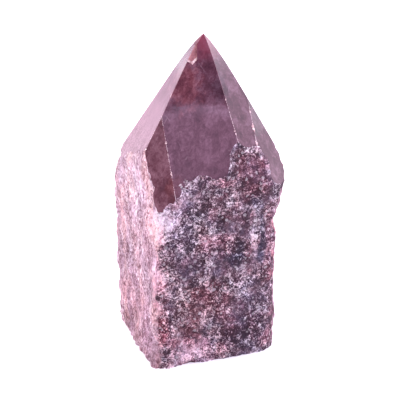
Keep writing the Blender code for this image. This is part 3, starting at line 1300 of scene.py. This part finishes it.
    def lap(self, stone: bpy.types.Object) -> None:
        """Rounds the polished faces over towards the tip, in narrow bands.

        Args:
            stone: The ground stone.
        """
        level = self.lap_start
        with editing(stone):
            while level < self.tip.z:
                bpy.ops.mesh.select_all(action="SELECT")
                bpy.ops.mesh.bisect(plane_co=(0, 0, level), plane_no=(0, 0, 1), threshold=self.cut_within)
                level += self.lap_band
        for vertex in stone.data.vertices:
            vertex.co.z = self.lapped(vertex.co.z)

    def edge_point(self, nick: Nick, height: float) -> tuple[Vector, Vector, Vector]:
        """A place on an edge between two polished faces.

        Args:
            nick: The nick, which names the two faces.
            height: The height before the tip was lapped.

        Returns:
            The point, the way down along the edge and the way out of the stone.
        """
        planes = self.planes()
        (on_first, first), (on_second, second) = planes[nick.first], planes[nick.second]
        along = first.cross(second).normalized()
        along = -along if along.z > 0 else along
        sides = (on_first.dot(first), on_second.dot(second), height)
        point = Matrix((first, second, Vector((0, 0, 1)))).inverted() @ Vector(sides)
        point.z = self.lapped(point.z)
        outward = first.lerp(second, nick.lean)
        outward = (outward - along * outward.dot(along)).normalized()
        return point, along, outward

    def bite(self, stone: bpy.types.Object, cutters: list[bpy.types.Object]) -> None:
        """Takes the cutters' shapes out of the stone in one go and leaves fresh surfaces.

        Args:
            stone: The lapped stone.
            cutters: The closed shapes to take out, which are used up.
        """
        whole = stone.data.copy()
        select_only([stone], stone)
        with editing(stone):
            bpy.ops.mesh.quads_convert_to_tris(quad_method="BEAUTY", ngon_method="BEAUTY")
        select_only(cutters, cutters[0])
        bpy.ops.object.join()
        cutter = bpy.context.object
        cutter.data.materials.append(stone.data.materials[Surface.FRESH_CHIP])
        cut = stone.modifiers.new("bite", "BOOLEAN")
        cut.operation = "DIFFERENCE"
        cut.solver = "EXACT"
        cut.material_mode = "TRANSFER"
        cut.object = cutter
        bpy.context.view_layer.objects.active = stone
        bpy.ops.object.modifier_apply(modifier=cut.name)
        bpy.data.objects.remove(cutter, do_unlink=True)
        with editing(stone):
            bpy.ops.mesh.remove_doubles(threshold=self.weld_within)
        if not self.is_closed(stone):
            LOG.warning("the bites left the stone open, so they are left out")
            stone.data = whole

    @staticmethod
    def is_closed(stone: bpy.types.Object) -> bool:
        """Whether every edge of the stone joins just two faces.

        Args:
            stone: The stone.

        Returns:
            True where the mesh is closed.
        """
        mesh = bmesh.new()
        mesh.from_mesh(stone.data)
        closed = all(len(edge.link_faces) == 2 for edge in mesh.edges)
        mesh.free()
        return closed

    def nick_cutters(self) -> list[bpy.types.Object]:
        """Makes the lumps that bite the nicks out of the polished edges.

        Returns:
            The lumps, in the order of the nicks.
        """
        cutters = []
        for i, nick in enumerate(self.nicks):
            point, along, outward = self.edge_point(nick, nick.height)
            bulk = min(self.nick_bulk, nick.length / 2)
            bpy.ops.mesh.primitive_ico_sphere_add(subdivisions=3, radius=1.0, location=(0, 0, 0))
            cutter = bpy.context.object
            turn = Matrix((outward.cross(along), outward, along)).transposed().to_4x4()
            sizes = Matrix.Diagonal((nick.width / 2, bulk, nick.length / 2, 1))
            seed = Vector((i * self.nick_seed_step, 0, 0))
            for vertex in cutter.data.vertices:
                uneven = noise.noise(vertex.co * self.nick_lumps + seed) * self.nick_lump_height
                vertex.co = turn @ sizes @ (vertex.co * (1 + uneven)) + point + outward * (bulk - nick.depth)
            cutters.append(cutter)
        return cutters

    def flake_cutter(self) -> bpy.types.Object:
        """Makes the plate that takes the flat flake off the front face below the tip.

        Returns:
            The plate, with steep walls and an even floor.
        """
        outward, middle = self.faces["front"].normal(), Vector(self.flake_middle)
        bpy.ops.mesh.primitive_cylinder_add(vertices=len(self.flake_rim), radius=1.0, depth=2.0)
        cutter = bpy.context.object
        level = outward.cross(Vector((0, 0, 1))).normalized()
        upward = level.cross(outward)
        rim = [Vector(corner) - middle for corner in self.flake_rim]
        rim.sort(key=lambda away: math.atan2(away.dot(upward), away.dot(level)))
        around = list(cutter.data.vertices)
        around.sort(key=lambda vertex: (vertex.co.z > 0, math.atan2(vertex.co.y, vertex.co.x)))
        shifts = [-self.flake_depth] * len(rim) + [self.flake_overhang] * len(rim)
        for vertex, away, shift in zip(around, rim * 2, shifts):
            vertex.co = middle + away + outward * shift
        with editing(cutter):
            bpy.ops.mesh.normals_make_consistent(inside=False)
        return cutter

    def set_shading(self, stone: bpy.types.Object) -> None:
        """Smooths the shading within each kind of surface and keeps every border between them crisp.

        Args:
            stone: The finished stone.
        """
        select_only([stone], stone)
        bpy.ops.object.shade_smooth_by_angle(angle=math.radians(self.smooth_angle))
        with editing(stone, "DESELECT") as mesh:
            for edge in mesh.edges:
                edge.select_set(len({face.material_index for face in edge.link_faces}) > 1)
            bmesh.update_edit_mesh(stone.data)
            bpy.ops.mesh.mark_sharp()

    def dress(self, stone: bpy.types.Object, patterns: RockPatterns) -> None:
        """Puts the finishes on the stone, in the order of its surfaces.

        Args:
            stone: The stone.
            patterns: The shared node groups.
        """
        polish = PolishedRock()
        finishes = {
            Surface.BROKEN: BrokenRock().build(patterns),
            Surface.POLISHED: polish.build(patterns, "polished_rock", self.polished_roughness),
            Surface.FRESH_CHIP: FreshChip().build(),
            Surface.SAWN: polish.build(patterns, "sawn_rock", self.sawn_roughness),
            Surface.WORN_EDGE: WornEdge().build(patterns),
        }
        for surface in Surface:
            stone.data.materials.append(finishes[surface])


@dataclass(frozen=True)
class SkyPatch:
    """A soft round part of the surroundings: its place, the angles that it fades between and its light."""

    bearing: float
    lift: float
    near: float
    far: float
    light: Colour

    def mask(self, sheet: NodeSheet, way: Socket) -> Amount:
        """The patch as a mask.

        Args:
            sheet: The world's sheet.
            way: The direction looked in.

        Returns:
            1 inside the near angle, easing to 0 at the far one.
        """
        lined_up = sheet.measure("DOT_PRODUCT", way, tuple(direction(self.bearing, self.lift)))
        return sheet.ease(lined_up, math.cos(math.radians(self.far)), math.cos(math.radians(self.near)))


@dataclass(frozen=True)
class SoftBox:
    """A soft box that looks at the stone: its bearing and lift in degrees, its distance, width and watts."""

    name: str
    bearing: float
    lift: float
    away: float
    size: float
    power: float
    aim: Triple = (0.0, 0.0, 0.05)

    def hang(self) -> None:
        """Hangs the light."""
        place = direction(self.bearing, self.lift) * self.away
        lamp = bpy.data.lights.new(self.name, "AREA")
        lamp.energy = self.power
        lamp.size = self.size
        box = bpy.data.objects.new(self.name, lamp)
        box.location = place + Vector(self.aim)
        box.rotation_euler = (-place).to_track_quat("-Z", "Y").to_euler()
        bpy.context.scene.collection.objects.link(box)


@dataclass
class Studio:
    """The pale floor, soft lights and the camera."""

    floor_size: float = 6.0
    floor_colour: Colour = (0.90, 0.89, 0.92)
    floor_glow: Colour = (0.90, 0.84, 1.0)
    floor_glow_strength: float = 0.10
    floor_roughness: float = 0.8
    floor_gloss: float = 0.1
    mat_colour: Colour = (0.40, 0.36, 0.41)
    mat_place: Triple = (-0.13, 0.47, 0.0)
    mat_fade: tuple[float, float] = (0.26, 0.14)
    azimuth: float = -21.7
    elevation: float = 30.0
    distance: float = 0.600
    aim: Triple = (0.002293, 0.000804, 0.0450)
    lens: float = 183.24
    sensor: float = 36.0
    clip: tuple[float, float] = (0.01, 20.0)
    boxes: tuple[SoftBox, ...] = (
        SoftBox("left_box", -118.0, 24.0, 0.80, 0.60, 4.2),
        SoftBox("top_box", 175.0, 72.0, 1.20, 1.00, 12.5),
    )
    sky: Colour = (0.76, 0.726, 0.813)
    glows: tuple[SkyPatch, ...] = (
        SkyPatch(60.0, 42.0, 5.0, 36.0, (6.60, 6.05, 7.05)),
        SkyPatch(-112.0, 20.0, 10.0, 50.0, (1.40, 1.34, 1.50)),
        SkyPatch(104.0, 12.0, 4.0, 32.0, (2.15, 2.20, 2.50)),
        SkyPatch(-21.7, 15.0, 4.0, 12.0, (0.54, 0.19, 0.57)),
        SkyPatch(-36.0, 8.0, 3.0, 11.0, (-0.60, -0.60, -0.62)),
        SkyPatch(61.0, 12.0, 3.0, 16.0, (-1.00, -0.95, -1.00)),
    )
    dark_side: SkyPatch = SkyPatch(-21.7, 32.0, 30.0, 52.0, (0.02, 0.02, 0.02))
    shade_lift: float = 18.6
    shade_rim: float = 0.35
    shade_fade: float = 0.003
    rim_light: float = 2.05

    def lay_floor(self) -> None:
        """Lays a seamless pale floor, with a dull mat out of the picture that the left face mirrors."""
        bpy.ops.mesh.primitive_plane_add(size=self.floor_size, location=(0, 0, 0))
        floor = bpy.context.object
        floor.name = "studio_floor"
        material, sheet, shader = new_material("studio_floor")
        place = sheet.add("ShaderNodeTexCoord").outputs["Object"]
        away = sheet.measure("LENGTH", sheet.vectors("SUBTRACT", place, self.mat_place))
        mat = sheet.ease(away, *self.mat_fade)
        sheet.feed(shader.inputs["Base Color"], sheet.blend(mat, self.floor_colour, self.mat_colour))
        shader.inputs["Roughness"].default_value = self.floor_roughness
        shader.inputs["Specular IOR Level"].default_value = self.floor_gloss
        shader.inputs["Emission Color"].default_value = (*self.floor_glow, 1.0)
        shader.inputs["Emission Strength"].default_value = self.floor_glow_strength
        floor.data.materials.append(material)

    def light(self) -> None:
        """Surrounds the stone with soft light: bright on both sides, dark above and behind the camera."""
        for box in self.boxes:
            box.hang()
        world = bpy.data.worlds.new("studio")
        bpy.context.scene.world = world
        world.use_nodes = True
        sheet = NodeSheet(world.node_tree)
        ground = world.node_tree.nodes["Background"]
        way = sheet.add("ShaderNodeTexCoord").outputs["Generated"]
        colour = self.sky
        for patch in self.glows:
            glow = sheet.vectors("MULTIPLY", patch.mask(sheet, way), patch.light)
            colour = sheet.vectors("ADD", colour, glow)
        up = sheet.parts(way)[2]
        cap = self.dark_side.mask(sheet, way)
        low, high = math.radians(self.shade_lift - self.shade_rim), math.radians(self.shade_lift)
        rim = sheet.ease(up, math.sin(low), math.sin(low + self.shade_fade)) * cap
        colour = sheet.tinted(colour, (self.rim_light,) * 3, rim)
        shade = sheet.ease(up, math.sin(high), math.sin(high + self.shade_fade)) * cap
        colour = sheet.blend(shade, colour, self.dark_side.light)
        seen = sheet.add("ShaderNodeLightPath").outputs["Is Camera Ray"]
        sheet.feed(ground.inputs["Color"], sheet.blend(seen, colour, WHITE))
        ground.inputs["Strength"].default_value = 1.0

    def set_camera(self) -> None:
        """Sets up the camera at the photograph's angle."""
        back = direction(self.azimuth, self.elevation)
        lens = bpy.data.cameras.new("camera")
        lens.lens = self.lens
        lens.sensor_width = self.sensor
        lens.clip_start, lens.clip_end = self.clip
        camera = bpy.data.objects.new("camera", lens)
        camera.location = Vector(self.aim) + back * self.distance
        camera.rotation_euler = (-back).to_track_quat("-Z", "Y").to_euler()
        bpy.context.scene.collection.objects.link(camera)
        bpy.context.scene.camera = camera
        bpy.context.scene.view_settings.view_transform = "Standard"


def main() -> None:
    """Loads the frame, builds the stone over it and sets the studio."""
    logging.basicConfig(level=logging.INFO, format="%(name)s: %(message)s")
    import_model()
    studio = Studio()
    studio.set_camera()
    studio.light()
    studio.lay_floor()
    LOG.info("studio set")
    point = MineralPoint()
    patterns = RockPatterns(point.planes())
    stone = point.make(patterns)
    LOG.info("stone shaped, %d faces", len(stone.data.polygons))
    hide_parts(NODE_NAME)
    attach(stone, "root")
    LOG.info("stone in place of %s", NODE_NAME)


if __name__ == "__main__":
    main()
